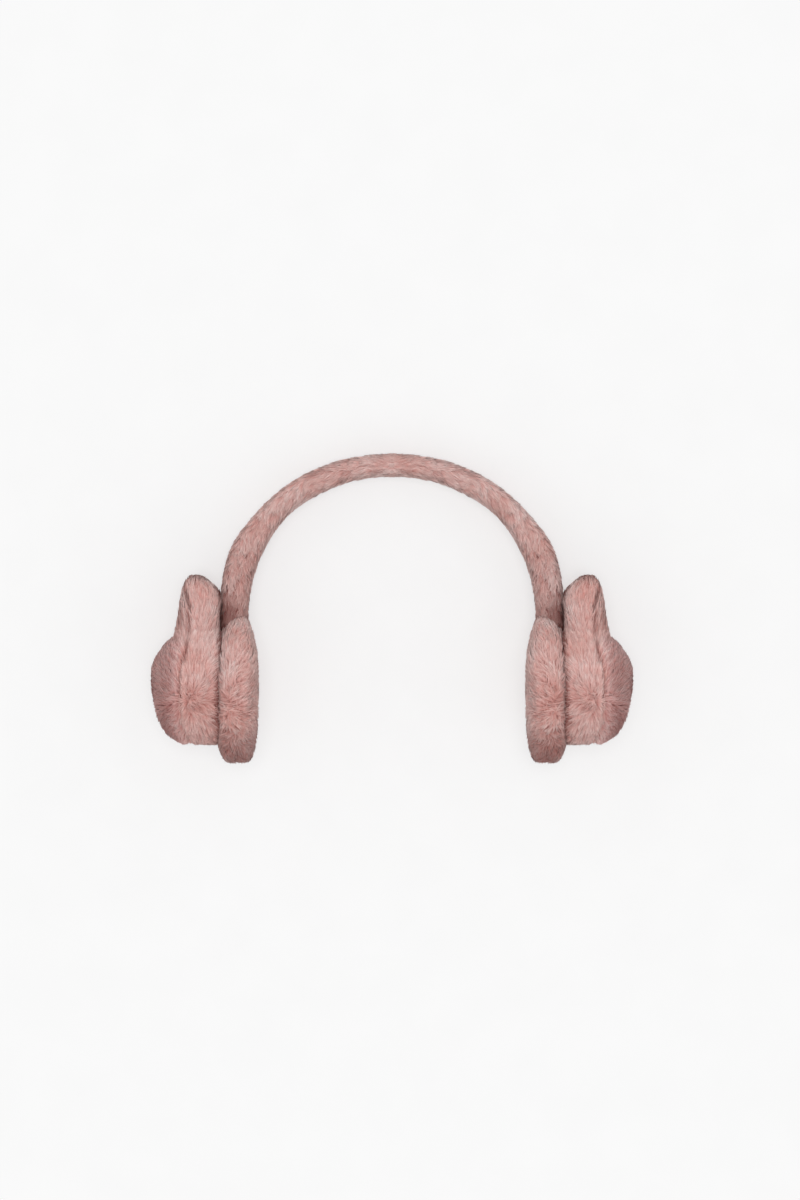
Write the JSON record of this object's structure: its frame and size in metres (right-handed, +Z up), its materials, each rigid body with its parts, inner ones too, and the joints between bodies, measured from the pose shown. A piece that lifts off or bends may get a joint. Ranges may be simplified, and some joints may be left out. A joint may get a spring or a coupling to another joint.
{
  "type": "fur earmuffs",
  "caption": "Plush fur earmuffs: an arched headband joins round ear pads, each with a rounded plush animal head and standing ears on its outer side.",
  "frame": {"origin": "middle of the bottom of the bounding box, on the surface that the earmuffs lie on", "axes": "+X to the wearer's left ear as drawn (the right of the picture), +Y from the pads towards the crown, +Z up from the surface, which is towards the front of the worn earmuffs"},
  "size_m": [0.2888, 0.1822, 0.0855],
  "materials": {
    "band_plush": "dusty pink long pile, combed from the crown down both sides",
    "pad_plush": "dusty pink long pile, swirling round the pad",
    "head_plush": "dusty pink long pile, combed across the strip",
    "face_plush": "greyer dusty pink pile on the domed outer panel",
    "ear_plush": "dusty pink long pile, combed up to the ear tip"
  },
  "bodies": {
    "root": {"headband": "band_plush", "ear_pad_left": "pad_plush", "ear_pad_right": "pad_plush", "head_strip_left": "head_plush", "head_strip_right": "head_plush", "head_face_left": "face_plush", "head_face_right": "face_plush", "ear_front_left": "ear_plush", "ear_front_right": "ear_plush", "ear_rear_left": "ear_plush", "ear_rear_right": "ear_plush"}
  },
  "joints": []
}
